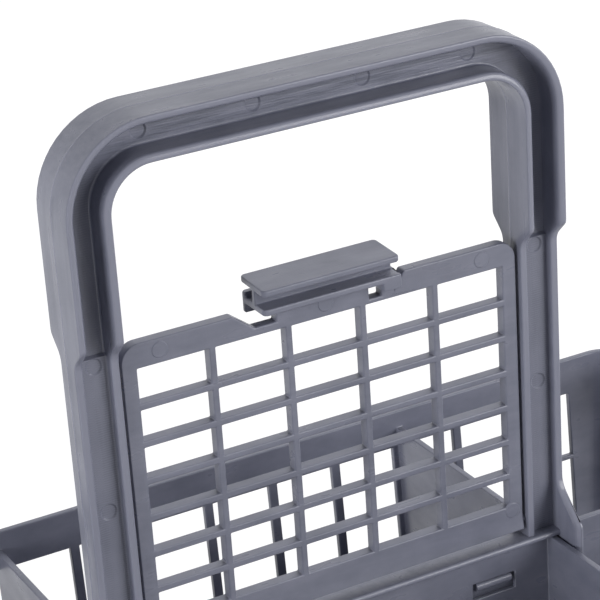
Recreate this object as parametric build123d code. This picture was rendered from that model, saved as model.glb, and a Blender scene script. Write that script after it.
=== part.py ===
from build123d import *
import os

# Dishwasher cutlery basket, in millimetres. X runs along the basket, Y across it, Z up.
# The origin lies on the surface that the basket stands on, under its middle.

# Basket: outer size over the rim, walls that lean in towards the floor
LENGTH = 240.0
WIDTH = 131.0
HEIGHT = 120.0
LEAN = 8.5
RIM_CORNER = 10.0
WALL = 1.6
FLOOR = 2.0

# Basket: lattice of the walls and of the floor
BAR_PITCH = 17.4
BAR = 2.3
CORNER_POST = 15.0
RIM_BAND = 9.2
WALL_ROWS = 6
ROW_BAR = 1.1
FOOT_BAND = 3.4
FLOOR_MARGIN = 6.5

# Basket: partitions between the six compartments; the centre one is double and takes the handle
DIVIDER = 1.6
DIVIDER_X = 53.3
DIVIDER_DROP = 4.2
CENTRE_WALL = 1.2
CENTRE_RISE = 0.2
SLOT_GAP = 0.2

# Handle: an arch of H-section, deep where the hand holds it and slim in the legs
HANDLE_RISE = 116.65
SECTION = 9.9
ARCH_CORNER = 19.0
FLANGE = 2.0
GRIP_DEPTH = 14.5
GRIP_WEB = 1.8
LEG_DEPTH = 7.0
LEG_WEB = 3.4
GRIP_RISE = 68.0
FOOT_DEPTH = 22.0
FOOT_RISE = 0.6
FOOT_DROP = 42.0
FOOT_GAP = 0.4

# Handle: the plate between the legs, which sits on the partitions, and its blade with snap lugs
PLATE = 1.5
PLATE_DEPTH = 9.4
PLATE_ROUND = 0.7
BLADE = 2.0
BLADE_DROP = 22.0
LUG_X = 38.0
LUG_DROP = 11.7
LUG_RADIUS = 1.0
LUG_LENGTH = 9.0
LUG_PROUD = 0.4
LUG_ROOM = 1.0
LUG_UNDER = 1.9
LUG_PLAY = 0.1

# Lid: a grid that stands between the legs and folds down to the front on two pins
LID_THICK = 2.8
LID_SETBACK = 0.95
LID_GAP = 0.5
LID_LIFT = 0.3
LID_CORNER = 4.0
LID_COLUMNS = 5
LID_ROWS = 7
STILE = 3.35
TOP_RAIL = 5.4
BOTTOM_RAIL = 4.3
HEEL = 2.1
HEEL_SLOPE = 2.9
HEEL_PROUD = 0.6
LID_COLUMN_BAR = 1.44
LID_ROW_BAR = 1.54
TOP_ROW_EXTRA = 0.85
PIN_RADIUS = 1.2
PIN_PLAY = 0.05
PIN_END = 0.2

# Lid: spring clip on the top rail, from the shelf that passes the rim to the thumb plate
CLIP_GAP = 2.4
CLIP_LEFT = -15.6
CLIP_RIGHT = 16.2
CLIP_SHEET = 1.4
CLIP_FRONT = 3.2
CLIP_BACK = 4.3
CLIP_RISE = 3.6
CLIP_TILT = 2.3
CLIP_CORNER = 1.1
HOOK = 1.8
HOOK_DROP = 2.0
HOOK_RISE = 1.1
RAIL_LAP = 0.4
GUSSET = 4.3
GUSSET_PAST = 0.2
GUSSET_DROP = 1.8
NOTCH_DEPTH = 3.6
NOTCH_LEAD = 0.7
NOTCH_FLOOR = 5.0
NOTCH_SLANT = 4.7
VEE = 2.4
CLIP_WINDOW = 3.0
CLIP_WINDOW_HEIGHT = 3.2
CLIP_WINDOW_LAP = 1.2

# Places that several pieces share
divider_top = HEIGHT - DIVIDER_DROP
centre_top = divider_top + CENTRE_RISE
blade_low = HEIGHT - BLADE_DROP
foot_low = HEIGHT - FOOT_DROP
slot_half = BLADE / 2 + SLOT_GAP
centre_outer = slot_half + CENTRE_WALL
foot_inside = DIVIDER_X + DIVIDER / 2 + FOOT_GAP
leg_outside = foot_inside + FLANGE
leg_inside = leg_outside - SECTION
arch_top = HEIGHT + HANDLE_RISE
lug_z = HEIGHT - LUG_DROP
lid_front = LID_SETBACK - LEG_DEPTH / 2
axis_y = lid_front + LID_THICK / 2
axis_z = HEIGHT + LID_LIFT + LID_THICK / 2
shelf_z = axis_z + WIDTH / 2 + axis_y + CLIP_GAP
rail_top = shelf_z + RAIL_LAP
gusset_right = CLIP_RIGHT + GUSSET_PAST
gusset_left = gusset_right - GUSSET
far = LENGTH + WIDTH + arch_top


def crossed(outline, profile):
    """The solid that has one outline from the front and another from the side."""
    return extrude(Plane.XZ * outline, far, both=True) & extrude(Plane.YZ * profile, far, both=True)


def leaning_sides(across, inset, floor_z):
    """Upright section of the tub: two sides that lean in from the rim to floor_z."""
    top = across / 2 - inset
    low = top - LEAN * (HEIGHT - floor_z) / HEIGHT
    return Polygon((-low, floor_z), (low, floor_z), (top, HEIGHT), (-top, HEIGHT), align=None)


def tub(inset, floor_z):
    """The leaning form of the basket, taken in by a wall's thickness, from floor_z to the rim."""
    block = crossed(leaning_sides(LENGTH, inset, floor_z), leaning_sides(WIDTH, inset, floor_z))
    posts = block.edges().filter_by(lambda edge: edge.bounding_box().size.Z > FLOOR)
    return fillet(posts, RIM_CORNER - inset)


def columns(half_length, corner):
    """How many whole windows fit along one wall between its round corners."""
    return 2 * int((half_length - corner + BAR) / BAR_PITCH)


def wall_windows(plane, count):
    """A lattice of openings that runs straight through two facing walls."""
    rows_height = HEIGHT - RIM_BAND - FOOT_BAND
    pitch = (rows_height + ROW_BAR) / WALL_ROWS
    middle = FOOT_BAND + rows_height / 2
    opening = Rectangle(BAR_PITCH - BAR, pitch - ROW_BAR)
    grid = Sketch() + GridLocations(BAR_PITCH, pitch, count, WALL_ROWS) * opening
    return extrude(plane * Pos(0, middle) * grid, far, both=True)


def floor_windows():
    """Drain openings: a lattice in each compartment, solid under the partitions."""
    opening = Rectangle(BAR_PITCH - BAR, BAR_PITCH - BAR)
    across = columns(WIDTH / 2 - LEAN, FLOOR_MARGIN)
    along = columns(LENGTH / 2 - LEAN, FLOOR_MARGIN)
    holes = Sketch() + GridLocations(BAR_PITCH, BAR_PITCH, along, across) * opening
    holes -= Rectangle(LENGTH, 2 * centre_outer)
    for x in (-DIVIDER_X, DIVIDER_X):
        holes -= Pos(x, 0) * Rectangle(BAR, WIDTH)
    return extrude(holes, FLOOR)


def slab(low, high):
    """A plain block between two corners."""
    size = Vector(high) - Vector(low)
    return Pos(*low) * Box(size.X, size.Y, size.Z, align=(Align.MIN, Align.MIN, Align.MIN))


def partitions():
    """Cross walls slotted for the blade, the double centre wall and the side middle walls."""
    half = DIVIDER / 2
    slot_low = blade_low - SLOT_GAP
    walls = []
    for side in (-1, 1):
        across = slab((-half, -WIDTH / 2, 0), (half, WIDTH / 2, divider_top))
        across -= slab((-DIVIDER, -slot_half, slot_low), (DIVIDER, slot_half, HEIGHT))
        walls.append(Pos(side * DIVIDER_X, 0) * across)
        middle = slab((DIVIDER_X, -half, 0), (LENGTH / 2, half, divider_top))
        middle -= slab((0, -DIVIDER, foot_low - FOOT_GAP), (leg_outside + FOOT_GAP, DIVIDER, HEIGHT))
        walls.append(Rot(0, 0, 0 if side > 0 else 180) * middle)
        centre = slab((-DIVIDER_X, slot_half, 0), (DIVIDER_X, centre_outer, centre_top))
        window_top = lug_z + LUG_RADIUS + LUG_PLAY
        for x in (-LUG_X, LUG_X):
            reach = LUG_LENGTH / 2 + LUG_ROOM
            window_low = lug_z - LUG_RADIUS - LUG_UNDER
            centre -= slab((x - reach, 0, window_low), (x + reach, WIDTH / 2, window_top))
        walls.append(Rot(0, 0, 0 if side > 0 else 180) * centre)
    return walls


def basket_body():
    shell = tub(0, 0) - tub(WALL, FLOOR)
    shell -= wall_windows(Plane.XZ, columns(LENGTH / 2, CORNER_POST))
    shell -= wall_windows(Plane.YZ, columns(WIDTH / 2, CORNER_POST))
    shell -= floor_windows()
    inside = tub(WALL / 2, 0)
    for wall in partitions():
        shell += wall & inside
    return shell


def arch_outline(half, top, corner, bottom):
    """Front outline of one edge of the arch: straight legs and two round shoulders."""
    height = top - bottom
    face = Pos(0, bottom + height / 2) * Rectangle(2 * half, height)
    shoulders = face.vertices().group_by(Axis.Y)[-1]
    return fillet(shoulders, corner)


def side_profile(corners, rounds):
    """Side outline, mirrored about the middle plane, from a list of half depths and heights."""
    edge = FilletPolyline(*corners, radius=rounds)
    twin = mirror(edge, Plane.YZ)
    return make_face(edge + twin + Line(edge @ 0, twin @ 0) + Line(edge @ 1, twin @ 1))


def seat():
    """Round-nosed plate on the centre wall, and the blade under it whose lugs snap into that wall."""
    plate = Pos(0, 0, centre_top + PLATE / 2) * Box(2 * foot_inside, PLATE_DEPTH, PLATE)
    plate = fillet(plate.edges().filter_by(Axis.X), PLATE_ROUND)
    blade = slab((-foot_inside, -BLADE / 2, blade_low), (foot_inside, BLADE / 2, centre_top))
    lug_y = centre_outer + LUG_PROUD - LUG_RADIUS
    lug = extrude(Plane.YZ * SlotCenterToCenter(2 * lug_y, 2 * LUG_RADIUS), LUG_LENGTH / 2, both=True)
    for x in (-LUG_X, LUG_X):
        blade += Pos(x, 0, lug_z) * lug
    return plate + blade


def carry_handle():
    below = foot_low - SECTION
    inner_corner = ARCH_CORNER - SECTION
    grip = GRIP_DEPTH / 2
    leg = LEG_DEPTH / 2
    foot = FOOT_DEPTH / 2
    step = grip - leg
    flare = foot - leg
    grip_z = HEIGHT + GRIP_RISE
    foot_z = HEIGHT + FOOT_RISE

    footed = arch_outline(leg_outside, arch_top, ARCH_CORNER, foot_low)
    outer = arch_outline(leg_outside, arch_top, ARCH_CORNER, centre_top)
    outer_lining = arch_outline(leg_outside - FLANGE, arch_top - FLANGE, ARCH_CORNER - FLANGE, below)
    inner_lining = arch_outline(
        leg_inside + FLANGE, arch_top - SECTION + FLANGE, inner_corner + FLANGE, centre_top)
    inner = arch_outline(leg_inside, arch_top - SECTION, inner_corner, below)

    slim_to_deep = [(leg, grip_z), (grip, grip_z + step), (grip, arch_top + SECTION)]
    outer_side = side_profile(
        [(foot, below), (foot, foot_z), (leg, foot_z + flare)] + slim_to_deep,
        [flare / 3, flare * 0.7, step, step / 2])
    inner_side = side_profile([(leg, below)] + slim_to_deep, [step, step / 2])
    web_side = side_profile(
        [(LEG_WEB / 2, below), (LEG_WEB / 2, grip_z), (GRIP_WEB / 2, grip_z + step),
         (GRIP_WEB / 2, arch_top + SECTION)],
        [step, step])

    handle = crossed(outer - inner, web_side)
    handle += crossed(footed - outer_lining, outer_side)
    handle += crossed(inner_lining - inner, inner_side)
    handle += seat()
    pin_hole = Rot(0, 90, 0) * Cylinder(PIN_RADIUS + PIN_PLAY, 2 * FLANGE)
    for x in (-leg_inside, leg_inside):
        handle -= Pos(x, axis_y, axis_z) * pin_hole
    return handle


def lid_panel(half, window_top):
    """The flat grid: a frame with thin bars, and a heel that slopes out to the front."""
    heel_z = axis_z - HEEL
    top = window_top + TOP_RAIL
    outline = arch_outline(half, top, LID_CORNER, heel_z)
    window_span = 2 * (half - STILE)
    column_pitch = (window_span + LID_COLUMN_BAR) / LID_COLUMNS
    rows_height = window_top - TOP_ROW_EXTRA - axis_z - BOTTOM_RAIL
    row_pitch = (rows_height + LID_ROW_BAR) / LID_ROWS
    opening = Rectangle(column_pitch - LID_COLUMN_BAR, row_pitch - LID_ROW_BAR)
    middle = axis_z + BOTTOM_RAIL + rows_height / 2
    grid = Sketch() + GridLocations(column_pitch, row_pitch, LID_COLUMNS, LID_ROWS) * opening
    top_opening = Rectangle(column_pitch - LID_COLUMN_BAR, 2 * TOP_ROW_EXTRA)
    top_row = Sketch() + GridLocations(column_pitch, 1, LID_COLUMNS, 1) * top_opening
    outline -= Pos(0, middle) * grid
    outline -= Pos(0, window_top - TOP_ROW_EXTRA) * top_row
    panel = extrude(Plane.XZ * Pos(0, 0, -lid_front) * outline, -LID_THICK)
    slope = Polygon(
        (lid_front, heel_z), (lid_front, heel_z + HEEL_SLOPE), (lid_front - HEEL_PROUD, heel_z), align=None)
    return panel + extrude(Plane.YZ * slope, half, both=True)


def clip_cuts():
    """Slots in the top rail that let the clip bend: a slanted notch, a small window and a vee."""
    floor_z = rail_top - NOTCH_DEPTH
    above = rail_top + TOP_RAIL
    notch_left = CLIP_LEFT - NOTCH_LEAD
    notch_right = notch_left + NOTCH_FLOOR
    slant_left = notch_left - NOTCH_SLANT
    notch = Polygon(
        (notch_right, floor_z), (notch_right, above), (slant_left, above), (slant_left, rail_top),
        (notch_left, floor_z), align=None)
    vee_right = gusset_right + VEE
    vee = Polygon(
        (gusset_right, above), (gusset_right, floor_z), (vee_right, rail_top), (vee_right, above), align=None)
    window_x = gusset_left + CLIP_WINDOW_LAP - CLIP_WINDOW / 2
    window = Pos(window_x, rail_top - TOP_RAIL / 2) * Rectangle(CLIP_WINDOW, CLIP_WINDOW_HEIGHT)
    return extrude(Plane.XZ * (notch + vee + window), far, both=True)


def spring_clip():
    """Shelf with a hook behind, a web and a sloped thumb plate, all of one sheet thickness."""
    front = lid_front - CLIP_FRONT
    back = lid_front + LID_THICK + CLIP_BACK
    depth = back - front
    middle = (front + back) / 2
    plate_z = shelf_z + CLIP_SHEET + CLIP_RISE
    hook_low = shelf_z - HOOK_DROP
    hook_height = HOOK_DROP + CLIP_SHEET + HOOK_RISE
    profile = Pos(middle, shelf_z + CLIP_SHEET / 2) * Rectangle(depth, CLIP_SHEET)
    profile += Pos(back - HOOK / 2, hook_low + hook_height / 2) * Rectangle(HOOK, hook_height)
    profile += Pos(axis_y, (shelf_z + plate_z) / 2) * Rectangle(CLIP_SHEET, plate_z - shelf_z)
    profile += Pos(middle, plate_z) * Rot(0, 0, CLIP_TILT) * Rectangle(depth, CLIP_SHEET)
    length = CLIP_RIGHT - CLIP_LEFT
    plan = Pos(CLIP_LEFT + length / 2, middle) * RectangleRounded(length, depth, CLIP_CORNER)
    clip = extrude(Plane.YZ * profile, far, both=True) & extrude(plan, far)
    gusset = slab(
        (gusset_left, front, shelf_z - GUSSET_DROP),
        (gusset_right, lid_front + LID_THICK, shelf_z + CLIP_SHEET))
    return clip + gusset


def grid_lid():
    half = leg_inside - LID_GAP
    lid = lid_panel(half, rail_top - TOP_RAIL) - clip_cuts() + spring_clip()
    pin_length = LID_GAP + FLANGE - PIN_END
    pin = Rot(0, 90, 0) * Cylinder(PIN_RADIUS, pin_length)
    for side in (-1, 1):
        lid += Pos(side * (half + pin_length / 2), axis_y, axis_z) * pin
    return lid


os.makedirs("parts", exist_ok=True)
export_step(basket_body(), "parts/basket_body.step")
export_step(carry_handle(), "parts/carry_handle.step")
export_step(grid_lid(), "parts/grid_lid.step")
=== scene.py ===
import math

import bmesh
import bpy
from mathutils import Matrix, Vector


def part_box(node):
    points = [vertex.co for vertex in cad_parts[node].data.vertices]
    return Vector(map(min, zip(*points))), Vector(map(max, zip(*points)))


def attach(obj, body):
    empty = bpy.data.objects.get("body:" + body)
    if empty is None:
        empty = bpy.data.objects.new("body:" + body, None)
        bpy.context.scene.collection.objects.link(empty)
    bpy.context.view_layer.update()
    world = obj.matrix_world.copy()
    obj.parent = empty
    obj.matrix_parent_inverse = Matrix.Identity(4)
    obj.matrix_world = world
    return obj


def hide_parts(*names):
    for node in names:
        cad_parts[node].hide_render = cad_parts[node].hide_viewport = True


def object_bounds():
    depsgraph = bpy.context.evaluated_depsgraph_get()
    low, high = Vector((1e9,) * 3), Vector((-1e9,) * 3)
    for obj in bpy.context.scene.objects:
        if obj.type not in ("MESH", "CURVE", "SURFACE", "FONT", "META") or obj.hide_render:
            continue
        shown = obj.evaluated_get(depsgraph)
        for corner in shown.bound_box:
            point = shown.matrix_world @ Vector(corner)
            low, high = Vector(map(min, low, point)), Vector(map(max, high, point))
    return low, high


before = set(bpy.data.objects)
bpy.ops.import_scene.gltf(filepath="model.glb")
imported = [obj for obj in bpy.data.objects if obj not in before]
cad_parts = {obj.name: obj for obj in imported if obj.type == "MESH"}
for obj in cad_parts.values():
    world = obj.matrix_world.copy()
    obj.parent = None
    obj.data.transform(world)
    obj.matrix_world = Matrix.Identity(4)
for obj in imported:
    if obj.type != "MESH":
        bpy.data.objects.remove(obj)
cad_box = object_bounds()

# Basket: one injection moulding in grey polypropylene, with open lattice walls and floor, a solid rim band
# and the partitions between its compartments. The mould leaves every edge slightly round and every face
# satin, with faint flow marks.
MM = 0.001  # the pieces' lengths are written in millimetres
WELD = 0.002
BASKET_EDGE = 0.32
EDGE_SEGMENTS = 3
EDGE_ANGLE = math.radians(32)
SHARP_ANGLE = math.radians(26)
GREY_LIGHT = "#868898"
GREY_DEEP = "#676A79"
CLOUD = 11
GRAIN = 0.4
RELIEF = 0.08
BASKET_STREAKS = (12, 12, 5)


def linear(hex_colour):
    """An sRGB hex colour as linear RGBA."""
    channels = [int(hex_colour[i:i + 2], 16) / 255 for i in (1, 3, 5)]
    return [c / 12.92 if c <= 0.04045 else ((c + 0.055) / 1.055) ** 2.4 for c in channels] + [1.0]


def add_node(tree, kind, links=(), values=(), **settings):
    """One node with its settings, its fixed input values and the sockets that feed it."""
    node = tree.nodes.new(kind)
    for name, value in settings.items():
        setattr(node, name, value)
    for socket, value in values:
        node.inputs[socket].default_value = value
    for socket, source in links:
        tree.links.new(source, node.inputs[socket])
    return node


def flow_streaks(tree, place, lengths_mm):
    """Noise drawn out to the given lengths along X, Y and Z."""
    drawn = add_node(tree, "ShaderNodeMapping", [("Vector", place)],
                     [("Scale", [1 / (length * MM) for length in lengths_mm])])
    noise = add_node(tree, "ShaderNodeTexNoise", [("Vector", drawn.outputs["Vector"])],
                     [("Scale", 1.0), ("Detail", 3.0), ("Roughness", 0.6)])
    return noise.outputs["Fac"]


def moulded_polypropylene(name, streaks):
    """Injection-moulded polypropylene: satin, a soft cloudy tone, flow streaks and a fine grain.

    streaks(tree, place) gives the piece's own streaks. For the handle it also adds painted highlights on the
    lips and the seam. The grain of 0.4 mm is coarser than the real one, so that it shows in a render.
    """
    material = bpy.data.materials.new(name)
    material.use_nodes = True
    tree = material.node_tree
    shader = tree.nodes["Principled BSDF"]
    shader.inputs["IOR"].default_value = 1.49
    place = add_node(tree, "ShaderNodeTexCoord").outputs["Object"]
    # For the handle these streaks also carry painted highlights: lighter colour on its lips and parting
    # seam.
    streak = streaks(tree, place)
    cloud = add_node(tree, "ShaderNodeTexNoise", [("Vector", place)],
                     [("Scale", 1 / (CLOUD * MM)), ("Detail", 3.0), ("Roughness", 0.55)])
    grain = add_node(tree, "ShaderNodeTexNoise", [("Vector", place)],
                     [("Scale", 1 / (GRAIN * MM)), ("Detail", 2.0)])
    tone = add_node(tree, "ShaderNodeMath", [(0, cloud.outputs["Fac"]), (1, streak)], operation="ADD")
    shade = add_node(tree, "ShaderNodeMapRange", [("Value", tone.outputs[0])],
                     [("From Min", 0.50), ("From Max", 1.50)])
    colour = add_node(tree, "ShaderNodeMix", [(0, shade.outputs["Result"])],
                      [(6, linear(GREY_DEEP)), (7, linear(GREY_LIGHT))], data_type="RGBA")
    tree.links.new(colour.outputs[2], shader.inputs["Base Color"])
    gloss = add_node(tree, "ShaderNodeMapRange", [("Value", streak)],
                     [("From Min", 0.3), ("From Max", 0.7), ("To Min", 0.38), ("To Max", 0.26)])
    tree.links.new(gloss.outputs["Result"], shader.inputs["Roughness"])
    relief = add_node(tree, "ShaderNodeMath", [(0, streak), (1, grain.outputs["Fac"])], operation="ADD")
    bump = add_node(tree, "ShaderNodeBump", [("Height", relief.outputs[0])],
                    [("Strength", 0.28), ("Distance", RELIEF * MM)])
    tree.links.new(bump.outputs["Normal"], shader.inputs["Normal"])
    return material


def modified(name, mesh, kind, **settings):
    """The mesh after one modifier, as a plain mesh."""
    carrier = bpy.data.objects.new(name, mesh)
    bpy.context.scene.collection.objects.link(carrier)
    modifier = carrier.modifiers.new(kind, kind)
    for setting, value in settings.items():
        setattr(modifier, setting, value)
    evaluated = carrier.evaluated_get(bpy.context.evaluated_depsgraph_get())
    result = bpy.data.meshes.new_from_object(evaluated)
    bpy.data.objects.remove(carrier)
    bpy.data.meshes.remove(mesh)
    result.name = name
    return result


def solid_copy(node_name):
    """A copy of a CAD solid's mesh, closed up."""
    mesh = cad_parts[node_name].data.copy()
    form = bmesh.new()
    form.from_mesh(mesh)
    bmesh.ops.remove_doubles(form, verts=form.verts, dist=WELD * MM)
    form.to_mesh(mesh)
    form.free()
    return mesh


def round_edges(name, mesh, edge):
    """The mesh with every sharp edge rounded."""
    return modified(name, mesh, "BEVEL", width=edge * MM, segments=EDGE_SEGMENTS, limit_method="ANGLE",
                    angle_limit=EDGE_ANGLE, use_clamp_overlap=False, loop_slide=False)


def place_piece(name, mesh, material):
    """A finished piece at the origin, in one material, on which flat faces shade flat."""
    mesh.shade_smooth()
    mesh.set_sharp_from_angle(angle=SHARP_ANGLE)
    mesh = modified(name, mesh, "WEIGHTED_NORMAL", keep_sharp=True)
    mesh.polygons.foreach_set("material_index", [0] * len(mesh.polygons))
    mesh.materials.clear()
    mesh.materials.append(material)
    piece = bpy.data.objects.new(name, mesh)
    bpy.context.scene.collection.objects.link(piece)
    return piece


basket_plastic = moulded_polypropylene(
    "moulded_polypropylene_basket", lambda tree, place: flow_streaks(tree, place, BASKET_STREAKS))
basket_mesh = round_edges("lattice_basket", solid_copy("basket_body"), BASKET_EDGE)
basket = place_piece("lattice_basket", basket_mesh, basket_plastic)
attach(basket, "basket")
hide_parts("basket_body")

# Handle: a second polypropylene moulding, an arch of H-section that snaps into the basket's centre wall.
# It is deep at the grip, slim in the legs and wide at the feet, and its lips are rounder towards the web.
# The mould's ejector pins have left round marks on the web, along the arch and down the legs.
handle_low, handle_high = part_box("carry_handle")
LEG_OUTSIDE = handle_high[0] / MM
ARCH_TOP = handle_high[2] / MM
FOOT_HALF = handle_high[1] / MM
FOOT_LOW = handle_low[2] / MM
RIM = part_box("basket_body")[1][2] / MM
SECTION = 9.9
FLANGE = 2.0
ARCH_CORNER = 19.0
GRIP_HALF = 7.25
LEG_HALF = 3.5
GRIP_WEB_HALF = 0.9
LEG_WEB_HALF = 1.7
STEP_LOW = RIM + 68.0
STEP_HIGH = STEP_LOW + GRIP_HALF - LEG_HALF
FLARE_LOW = RIM + 0.6
FLARE_FOOT_SHARE = 1 / 3
FLARE_LEG_SHARE = 0.7
PLATE_LOW = RIM - 4.0
PLATE_HIGH = RIM - 2.5
PLATE_HALF = 4.7
PLATE_EDGE = 0.7
BLADE_HALF = 1.0
BLADE_LOW = RIM - 22.0
BLADE_EDGE = 0.3
LUG_RADIUS = 1.0
LUG_HALF = 2.8
LUG_LENGTH = 9.0
LUG_X = 38.0
LUG_Z = RIM - 11.7
LUG_EDGE = 0.98
LIP_OUTSIDE = 0.4
LIP_INSIDE_SHARE = 0.16
ROOT = 0.5
DOME = 0.12
SEAM = 0.1
SEAM_HALF = 0.35
CORNER_STEPS = 4
PROFILE_STEPS = 6
ARC_STEPS = 14
LEDGE_START = 0.28
LEDGE_END = 0.50
MARK_RADIUS = 1.85
MARK_DEPTH = 0.28
MARK_SLOPE = 0.8
MARK_SIDES = 40
ARCH_MARK_PITCH = 24.8
ARCH_MARK_COUNT = 4
LEG_MARK_PITCH = 32.1
LEG_MARK_Z = 154.0
LEG_MARK_COUNT = 2
MILLING = 0.5
MILLING_DEPTH = 0.3
LEG_STREAKS = (1.6, 2.5, 26)
LEG_STREAK_GAIN = 0.7
ARCH_STREAKS = (14, 2.5, 0.9)
ARCH_STREAK_GAIN = 4.5
STREAK_BLEND = 4
WEB_FADE_START = 0.1
WEB_FADE_END = 0.3
# Painted highlights: how much lighter the colour of the handle's lips and parting seam is painted.
LIP_PAINTED_HIGHLIGHT = 0.6
SEAM_PAINTED_HIGHLIGHT = 0.45
PIN_HOLE = 1.25
PIN_HOLE_SIDES = 32
AXIS_Y = -1.15
AXIS_Z = RIM + 1.7


def rounded(points, radii, steps, closed):
    """A line of 2-D points with each corner turned into an arc of its radius."""
    line = []
    count = len(points)
    for i, (point, radius) in enumerate(zip(points, radii)):
        here = Vector(point)
        if radius == 0 or (not closed and i in (0, count - 1)):
            line.append(here)
            continue
        back = (Vector(points[i - 1]) - here).normalized()
        ahead = (Vector(points[(i + 1) % count]) - here).normalized()
        half = back.angle(ahead) / 2
        reach = radius / math.tan(half)
        centre = here + (back + ahead).normalized() * (radius / math.sin(half))
        start = here + back * reach - centre
        end = here + ahead * reach - centre
        sweep = start.angle_signed(end)
        for k in range(steps + 1):
            angle = -sweep * k / steps
            turn = Matrix.Rotation(angle, 2)
            line.append(centre + turn @ start)
    return line


def ring_of(corners):
    """A closed ring from corners given as depth below the arch's outside, Y and radius."""
    return rounded([(n, y) for n, y, r in corners], [r for n, y, r in corners], CORNER_STEPS, True)


def outer_flange_ring(half):
    """The outer flange: slightly domed, with round lips and the mould's parting seam along its middle."""
    lip_inside = half * LIP_INSIDE_SHARE
    return ring_of([(DOME + SEAM, -half, LIP_OUTSIDE), (SEAM, -SEAM_HALF, 0), (0, 0, 0),
                    (SEAM, SEAM_HALF, 0), (DOME + SEAM, half, LIP_OUTSIDE), (FLANGE, half, lip_inside),
                    (FLANGE, -half, lip_inside)])


def inner_flange_ring(half, web_half):
    """The inner flange and the web, which starts inside the outer flange."""
    far_side = SECTION - FLANGE
    lip_inside = half * LIP_INSIDE_SHARE
    return ring_of([(FLANGE / 2, -web_half, 0), (FLANGE / 2, web_half, 0), (far_side, web_half, ROOT),
                    (far_side, half, lip_inside), (SECTION - DOME - SEAM, half, LIP_OUTSIDE),
                    (SECTION - SEAM, SEAM_HALF, 0), (SECTION, 0, 0), (SECTION - SEAM, -SEAM_HALF, 0),
                    (SECTION - DOME - SEAM, -half, LIP_OUTSIDE), (far_side, -half, lip_inside),
                    (far_side, -web_half, ROOT)])


def sweep_rings(form, rings):
    """A closed skin through rings of points with the same count, capped at both ends."""
    loops = [[form.verts.new(Vector(p) * MM) for p in ring] for ring in rings]
    for near, away in zip(loops, loops[1:]):
        for i in range(len(near)):
            j = (i + 1) % len(near)
            form.faces.new((near[i], near[j], away[j], away[i]))
    form.faces.new(loops[0])
    form.faces.new(loops[-1])


def leg_profile(bottom, bottom_half):
    """Half depth of a flange against height, from the bottom of a leg up to the arch's corner."""
    flare = bottom_half - LEG_HALF
    step = GRIP_HALF - LEG_HALF
    corners = [(LEG_HALF, STEP_LOW), (GRIP_HALF, STEP_HIGH), (GRIP_HALF, ARCH_TOP - ARCH_CORNER)]
    radii = [step, step / 2, 0]
    if flare:
        corners = [(bottom_half, bottom), (bottom_half, FLARE_LOW), (LEG_HALF, FLARE_LOW + flare)] + corners
        radii = [0, flare * FLARE_FOOT_SHARE, flare * FLARE_LEG_SHARE] + radii
    else:
        corners = [(LEG_HALF, bottom)] + corners
        radii = [0] + radii
    return rounded(corners, radii, PROFILE_STEPS, False)


def arch_rings(bottom, bottom_half, ring):
    """Rings of one flange from the bottom of the left leg, over the arch, to that of the right leg."""
    stations = [((-LEG_OUTSIDE, z), (1, 0), half) for half, z in leg_profile(bottom, bottom_half)]
    centre = (-LEG_OUTSIDE + ARCH_CORNER, ARCH_TOP - ARCH_CORNER)
    for k in range(1, ARC_STEPS + 1):
        angle = math.radians(90 * k / ARC_STEPS)
        inward = (math.cos(angle), -math.sin(angle))
        spot = (centre[0] - ARCH_CORNER * inward[0], centre[1] - ARCH_CORNER * inward[1])
        stations.append((spot, inward, GRIP_HALF))
    stations += [((-x, z), (-nx, nz), half) for (x, z), (nx, nz), half in reversed(stations)]
    return [[(x + n * nx, y, z + n * nz) for n, y in ring(half)] for (x, z), (nx, nz), half in stations]


def inner_ring_at(half):
    """The inner ring for a half depth. The web is thicker in the legs, up to a ledge at the step."""
    share = min(max((half - LEG_HALF - LEDGE_START) / (LEDGE_END - LEDGE_START), 0), 1)
    return inner_flange_ring(half, LEG_WEB_HALF + (GRIP_WEB_HALF - LEG_WEB_HALF) * share)


def bar_rings(low, high, radius):
    """Two rings of a bar with round long edges, which runs along X between two opposite corners."""
    corners = [(low[1], low[2]), (high[1], low[2]), (high[1], high[2]), (low[1], high[2])]
    outline = rounded(corners, [radius] * len(corners), CORNER_STEPS, True)
    return [[(x, y, z) for y, z in outline] for x in (low[0], high[0])]


def mesh_of(name, form):
    """A bmesh as a mesh with its faces outward."""
    bmesh.ops.recalc_face_normals(form, faces=form.faces)
    mesh = bpy.data.meshes.new(name)
    form.to_mesh(mesh)
    form.free()
    return mesh


def pin_hole(side):
    """The hole for one of the lid's pins, through the inner flange."""
    turns = [2 * math.pi * k / PIN_HOLE_SIDES for k in range(PIN_HOLE_SIDES)]
    circle = [(AXIS_Y + PIN_HOLE * math.cos(a), AXIS_Z + PIN_HOLE * math.sin(a)) for a in turns]
    ends = [side * (LEG_OUTSIDE - SECTION + reach) for reach in (-FLANGE, FLANGE)]
    form = bmesh.new()
    sweep_rings(form, [[(x, y, z) for y, z in circle] for x in ends])
    return mesh_of("pin_hole", form)


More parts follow.
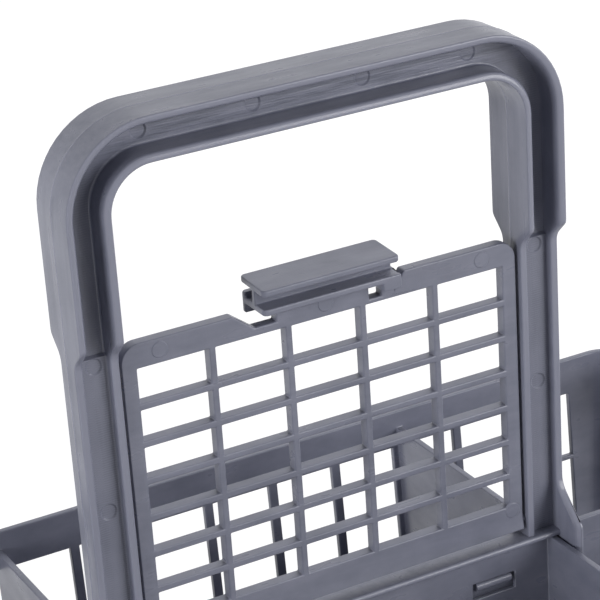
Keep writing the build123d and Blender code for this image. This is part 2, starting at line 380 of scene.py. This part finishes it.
def mark_tree():
    """Geometry Nodes that set a row of blunt cones on a line, with named inputs for their sizes."""
    tree = bpy.data.node_groups.new("ejector_mark_row", "GeometryNodeTree")
    tree.interface.new_socket("Geometry", in_out="OUTPUT", socket_type="NodeSocketGeometry")
    for label, kind in (("Count", "Int"), ("Start", "Vector"), ("Step", "Vector"), ("Turn", "Vector"),
                        ("Radius", "Float"), ("Height", "Float"), ("Material", "Material")):
        tree.interface.new_socket(label, in_out="INPUT", socket_type="NodeSocket" + kind)
    given = tree.nodes.new("NodeGroupInput").outputs
    row = add_node(tree, "GeometryNodeMeshLine",
                   [("Count", given["Count"]), ("Start Location", given["Start"]),
                    ("Offset", given["Step"])])
    wide = add_node(tree, "ShaderNodeMath", [(0, given["Height"]), (2, given["Radius"])],
                    [(1, 1 / MARK_SLOPE)], operation="MULTIPLY_ADD")
    cone = add_node(tree, "GeometryNodeMeshCone",
                    [("Radius Top", wide.outputs[0]), ("Radius Bottom", given["Radius"]),
                     ("Depth", given["Height"])], [("Vertices", MARK_SIDES)])
    spread = add_node(tree, "GeometryNodeInstanceOnPoints",
                      [("Points", row.outputs["Mesh"]), ("Instance", cone.outputs["Mesh"]),
                       ("Rotation", given["Turn"])])
    real = add_node(tree, "GeometryNodeRealizeInstances", [("Geometry", spread.outputs["Instances"])])
    dressed = add_node(tree, "GeometryNodeSetMaterial",
                       [("Geometry", real.outputs["Geometry"]), ("Material", given["Material"])])
    add_node(tree, "NodeGroupOutput", [("Geometry", dressed.outputs["Geometry"])])
    return tree


def row_mesh(tree, **inputs):
    """The tree's result as a plain mesh."""
    carrier = bpy.data.objects.new("row", bpy.data.meshes.new("row"))
    bpy.context.scene.collection.objects.link(carrier)
    modifier = carrier.modifiers.new("row", "NODES")
    modifier.node_group = tree
    for item in tree.interface.items_tree:
        if item.in_out == "INPUT":
            modifier[item.identifier] = inputs[item.name]
    evaluated = carrier.evaluated_get(bpy.context.evaluated_depsgraph_get())
    mesh = bpy.data.meshes.new_from_object(evaluated)
    bpy.data.objects.remove(carrier)
    return mesh


mark_cones = mark_tree()


def mark_row(count, start, step, outward, depth, material):
    """Blunt cones for a row of marks from start on, which widen outward from below the face."""
    turn = Vector(outward).to_track_quat("Z", "Y").to_euler()
    floor_centre = Vector(start) - Vector(outward) * depth
    floor_radius = MARK_RADIUS - depth / MARK_SLOPE
    return row_mesh(mark_cones, Count=count, Start=floor_centre * MM, Step=Vector(step) * MM, Turn=turn[:],
                    Radius=floor_radius * MM, Height=2 * depth * MM, Material=material)


def joined(name, meshes):
    """Several meshes as one."""
    form = bmesh.new()
    for mesh in meshes:
        form.from_mesh(mesh)
        bpy.data.meshes.remove(mesh)
    whole = bpy.data.meshes.new(name)
    form.to_mesh(whole)
    form.free()
    return whole


def cut_away(name, mesh, forms):
    """The mesh without the space that the forms take."""
    cutter = bpy.data.objects.new("cutter", joined("cutter", forms))
    bpy.context.scene.collection.objects.link(cutter)
    result = modified(name, mesh, "BOOLEAN", object=cutter, operation="DIFFERENCE", solver="EXACT")
    bpy.data.meshes.remove(cutter.data)
    return result


def handle_streaks_and_highlights(tree, place):
    """Streaks along the legs and the arch, strong on the web, where the mould's milling shows too.

    The lips and the parting seam are painted lighter, as painted highlights.
    """
    along = add_node(tree, "ShaderNodeSeparateXYZ", [("Vector", place)]).outputs
    # 0 in the legs and 1 along the arch.
    above = add_node(tree, "ShaderNodeMapRange", [("Value", along["Z"])],
                     [("From Min", (ARCH_TOP - SECTION - STREAK_BLEND) * MM),
                      ("From Max", (ARCH_TOP - SECTION + STREAK_BLEND) * MM)])
    streak = add_node(tree, "ShaderNodeMix", [(0, above.outputs["Result"]),
                                              (2, flow_streaks(tree, place, LEG_STREAKS)),
                                              (3, flow_streaks(tree, place, ARCH_STREAKS))])
    # Faces that look to the front or the back are the web near the middle and the lips further out.
    depth = add_node(tree, "ShaderNodeMath", [(0, along["Y"])], operation="ABSOLUTE").outputs[0]
    turned = add_node(tree, "ShaderNodeTexCoord").outputs["Normal"]
    facing = add_node(tree, "ShaderNodeSeparateXYZ", [("Vector", turned)]).outputs["Y"]
    facing = add_node(tree, "ShaderNodeMath", [(0, facing)], operation="ABSOLUTE").outputs[0]
    front = add_node(tree, "ShaderNodeMapRange", [("Value", facing)],
                     [("From Min", 0.4), ("From Max", 0.8)]).outputs["Result"]
    inside = add_node(tree, "ShaderNodeMapRange", [("Value", depth)],
                      [("From Min", (LEG_WEB_HALF + WEB_FADE_START) * MM),
                       ("From Max", (LEG_WEB_HALF + WEB_FADE_END) * MM),
                       ("To Min", 1.0), ("To Max", 0.0)]).outputs["Result"]
    web = add_node(tree, "ShaderNodeMath", [(0, front), (1, inside)], operation="MULTIPLY").outputs[0]
    lip = add_node(tree, "ShaderNodeMath", [(0, front), (1, web)], operation="SUBTRACT").outputs[0]
    # The seam is the middle of the faces that look another way.
    middle = add_node(tree, "ShaderNodeMapRange", [("Value", depth)],
                      [("From Min", 0.7 * SEAM_HALF * MM), ("From Max", 1.2 * SEAM_HALF * MM),
                       ("To Min", 1.0), ("To Max", 0.0)]).outputs["Result"]
    seam = add_node(tree, "ShaderNodeMath", [(0, middle), (1, front)], operation="SUBTRACT",
                    use_clamp=True).outputs[0]
    lines = add_node(tree, "ShaderNodeTexWave", [("Vector", place)],
                     [("Scale", math.pi / 10 / (MILLING * MM)), ("Distortion", 2.5), ("Detail", 2.0)],
                     bands_direction="Z")
    gain = add_node(tree, "ShaderNodeMapRange", [("Value", above.outputs["Result"])],
                    [("To Min", LEG_STREAK_GAIN), ("To Max", ARCH_STREAK_GAIN)])
    apart = add_node(tree, "ShaderNodeMath", [(0, streak.outputs[0])], [(1, 0.5)], operation="SUBTRACT")
    strong = add_node(tree, "ShaderNodeMath", [(0, apart.outputs[0]), (1, gain.outputs["Result"])],
                      [(2, 0.5 - MILLING_DEPTH / 2)], operation="MULTIPLY_ADD")
    milled = add_node(tree, "ShaderNodeMath", [(0, lines.outputs["Fac"]), (2, strong.outputs[0])],
                      [(1, MILLING_DEPTH)], operation="MULTIPLY_ADD")
    shown = add_node(tree, "ShaderNodeMix", [(0, web), (2, streak.outputs[0]), (3, milled.outputs[0])])
    # Painted highlight: the lips' colour is made lighter here.
    with_lip_highlight = add_node(tree, "ShaderNodeMath", [(0, lip), (2, shown.outputs[0])], [(1, LIP_PAINTED_HIGHLIGHT)],
                     operation="MULTIPLY_ADD")
    # Painted highlight: the parting seam's colour is made lighter here.
    with_painted_highlights = add_node(tree, "ShaderNodeMath", [(0, seam), (2, with_lip_highlight.outputs[0])], [(1, SEAM_PAINTED_HIGHLIGHT)],
                      operation="MULTIPLY_ADD")
    return with_painted_highlights.outputs[0]


handle_plastic = moulded_polypropylene("moulded_polypropylene_handle", handle_streaks_and_highlights)
first_x = -ARCH_MARK_PITCH * (ARCH_MARK_COUNT - 1) / 2
web_x = LEG_OUTSIDE - SECTION / 2
web_cuts = [pin_hole(-1), pin_hole(1)]
for side in (-1, 1):
    outward = (0, side, 0)
    arch_start = (first_x, side * GRIP_WEB_HALF, ARCH_TOP - SECTION / 2)
    web_cuts.append(mark_row(ARCH_MARK_COUNT, arch_start, (ARCH_MARK_PITCH, 0, 0), outward,
                             MARK_DEPTH, handle_plastic))
    for x in (-web_x, web_x):
        leg_start = (x, side * LEG_WEB_HALF, LEG_MARK_Z)
        web_cuts.append(mark_row(LEG_MARK_COUNT, leg_start, (0, 0, LEG_MARK_PITCH), outward,
                                 MARK_DEPTH, handle_plastic))
web_form = bmesh.new()
sweep_rings(web_form, arch_rings(PLATE_LOW, LEG_HALF, inner_ring_at))
web_mesh = cut_away("arch_web", mesh_of("arch_web", web_form), web_cuts)

foot_inside = LEG_OUTSIDE - FLANGE
arch_form = bmesh.new()
sweep_rings(arch_form, arch_rings(FOOT_LOW, FOOT_HALF, outer_flange_ring))
sweep_rings(arch_form, bar_rings((-foot_inside, -PLATE_HALF, PLATE_LOW),
                                 (foot_inside, PLATE_HALF, PLATE_HIGH), PLATE_EDGE))
sweep_rings(arch_form, bar_rings((-foot_inside, -BLADE_HALF, BLADE_LOW),
                                 (foot_inside, BLADE_HALF, PLATE_LOW), BLADE_EDGE))
for x in (-LUG_X, LUG_X):
    sweep_rings(arch_form, bar_rings((x - LUG_LENGTH / 2, -LUG_HALF, LUG_Z - LUG_RADIUS),
                                     (x + LUG_LENGTH / 2, LUG_HALF, LUG_Z + LUG_RADIUS), LUG_EDGE))
handle_mesh = joined("arch_handle", [mesh_of("arch_frame", arch_form), web_mesh])
handle = place_piece("arch_handle", handle_mesh, handle_plastic)
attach(handle, "basket")
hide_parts("carry_handle")

# Lid: a flat polypropylene grid on two pins of its own, with a spring clip on its top rail. It stands
# between the legs and folds down to the front. The ejector pins have left thin pads on its rails.
LID_EDGE = 0.36
LID_STREAKS = (16, 6, 4)
FLAT_ANGLE = math.radians(0.5)
PAD_HEIGHT = 0.18
LID_FACE_Y = -2.55
THUMB_PLATE_Z = 191.2
SHELF_Z = 188.4
GUSSET_X = 12.0
LID_MARK_Z = 186.4
LID_MARK_PITCH = 37.6
LID_MARK_COUNT = 3
HEEL_MARK_Z = 124.9
HEEL_MARK_X = 43.4
HEEL_MARK_COUNT = 2
INWARD = (0, 1, 0)  # the pads' cones widen into the lid, away from its front face


def dissolve_flats(mesh, is_plain):
    """Turn the flat faces into single faces wherever is_plain holds for a point."""
    form = bmesh.new()
    form.from_mesh(mesh)
    flat = [e for e in form.edges if all(is_plain(v.co / MM) for v in e.verts)
            and len(e.link_faces) == 2 and e.calc_face_angle() < FLAT_ANGLE]
    bmesh.ops.dissolve_edges(form, edges=flat, use_verts=False)
    form.to_mesh(mesh)
    form.free()


lid_plastic = moulded_polypropylene(
    "moulded_polypropylene_lid", lambda tree, place: flow_streaks(tree, place, LID_STREAKS))
lid_marks = [
    mark_row(LID_MARK_COUNT, (-LID_MARK_PITCH, LID_FACE_Y, LID_MARK_Z), (LID_MARK_PITCH, 0, 0), INWARD,
             PAD_HEIGHT, lid_plastic),
    mark_row(HEEL_MARK_COUNT, (-HEEL_MARK_X, LID_FACE_Y, HEEL_MARK_Z), (2 * HEEL_MARK_X, 0, 0), INWARD,
             PAD_HEIGHT, lid_plastic)]
lid_mesh = solid_copy("grid_lid")
dissolve_flats(lid_mesh, lambda point: point.z > THUMB_PLATE_Z or (point.z > SHELF_Z and point.x < GUSSET_X))
lid_mesh = joined("folding_grid_lid", [round_edges("folding_grid_lid", lid_mesh, LID_EDGE)] + lid_marks)
lid = place_piece("folding_grid_lid", lid_mesh, lid_plastic)
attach(lid, "lid")
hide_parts("grid_lid")

# Floor and light: plain white paper under soft light from the right, the left and behind, as in a shop
# picture. The floor is white to the camera and still takes the object's shadow. Lengths here are in metres.
FLOOR_RADIUS = 1.2
FLOOR_SIDES = 64
FLOOR_DROP = 0.0002
PAPER = "#C8C8C8"
PAPER_ROUGHNESS = 0.9
GLOW_SHARE = 0.58
GLOW = 1.44
AMBIENT = 0.11
WHITE = (1, 1, 1, 1)


def seen_rays(tree):
    """1 for rays from the camera, from mirroring faces and through glass, and 0 for all others."""
    rays = add_node(tree, "ShaderNodeLightPath").outputs
    direct = add_node(tree, "ShaderNodeMath", [(0, rays["Is Camera Ray"]), (1, rays["Is Glossy Ray"])],
                      operation="MAXIMUM").outputs[0]
    return add_node(tree, "ShaderNodeMath", [(0, direct), (1, rays["Is Transmission Ray"])],
                    operation="MAXIMUM").outputs[0]


floor_mesh = bpy.data.meshes.new("white_floor")
floor_turns = [2 * math.pi * k / FLOOR_SIDES for k in range(FLOOR_SIDES)]
floor_mesh.from_pydata([(FLOOR_RADIUS * math.cos(a), FLOOR_RADIUS * math.sin(a), -FLOOR_DROP)
                        for a in floor_turns], [], [range(FLOOR_SIDES)])
floor = bpy.data.objects.new("white_floor", floor_mesh)
bpy.context.scene.collection.objects.link(floor)

floor_white = bpy.data.materials.new("white_paper_floor")
floor_white.use_nodes = True
floor_tree = floor_white.node_tree
paper = floor_tree.nodes["Principled BSDF"]
paper.inputs["Base Color"].default_value = linear(PAPER)
paper.inputs["Roughness"].default_value = PAPER_ROUGHNESS
share = add_node(floor_tree, "ShaderNodeMath", [(0, seen_rays(floor_tree))], [(1, GLOW_SHARE)],
                 operation="MULTIPLY")
glow = add_node(floor_tree, "ShaderNodeEmission", values=[("Color", WHITE), ("Strength", GLOW)])
lit_paper = add_node(floor_tree, "ShaderNodeMixShader",
                     [(0, share.outputs[0]), (1, paper.outputs["BSDF"]), (2, glow.outputs["Emission"])])
floor_tree.links.new(lit_paper.outputs["Shader"], floor_tree.nodes["Material Output"].inputs["Surface"])
floor_mesh.materials.append(floor_white)

world = bpy.data.worlds.new("white_studio")
bpy.context.scene.world = world
world.use_nodes = True
sky = world.node_tree
level = add_node(sky, "ShaderNodeMapRange", [("Value", seen_rays(sky))],
                 [("To Min", AMBIENT), ("To Max", 1.0)])
backdrop = sky.nodes["Background"]
backdrop.inputs["Color"].default_value = WHITE
sky.links.new(level.outputs["Result"], backdrop.inputs["Strength"])


def softbox(name, place, size, watts, glossy=True):
    """A square soft light aimed at the object's middle, which glossy faces mirror or not."""
    middle = (Vector(cad_box[0]) + Vector(cad_box[1])) / 2
    lamp = bpy.data.lights.new(name, "AREA")
    lamp.shape = "SQUARE"
    lamp.size = size
    lamp.energy = watts
    box = bpy.data.objects.new(name, lamp)
    box.location = place
    box.visible_glossy = glossy
    box.rotation_euler = (middle - Vector(place)).to_track_quat("-Z", "Y").to_euler()
    bpy.context.scene.collection.objects.link(box)


softbox("right_softbox", (0.95, -1.05, 0.50), size=0.9, watts=15.5)
softbox("left_softbox", (-1.35, -0.22, 0.32), size=0.5, watts=12.4, glossy=False)
softbox("back_softbox", (0.65, 0.80, 0.95), size=0.9, watts=11.0, glossy=False)

# Camera: a long lens in front of the lid's side, above it and to the left. RIGHT, DOWN and FORWARD are the
# picture's own directions, and FOCAL_SHARE is the focal length in widths of the picture.
EYE = Vector((-214.45, -408.26, 385.47)) * MM
RIGHT = Vector((0.8748, -0.4805, -0.0629))
DOWN = Vector((-0.2417, -0.3201, -0.9161))
FORWARD = Vector((0.4200, 0.8166, -0.3962))
SENSOR = 36.0
FOCAL_SHARE = 2455 / 600
lens = bpy.data.cameras.new("long_lens")
lens.sensor_width = SENSOR
lens.lens = SENSOR * FOCAL_SHARE
lens.clip_start = 0.01
camera = bpy.data.objects.new("long_lens", lens)
turn = Matrix((RIGHT, -DOWN, -FORWARD)).transposed()
camera.matrix_world = Matrix.Translation(EYE) @ turn.to_4x4()
bpy.context.scene.collection.objects.link(camera)
bpy.context.scene.camera = camera
bpy.context.scene.view_settings.view_transform = "Standard"
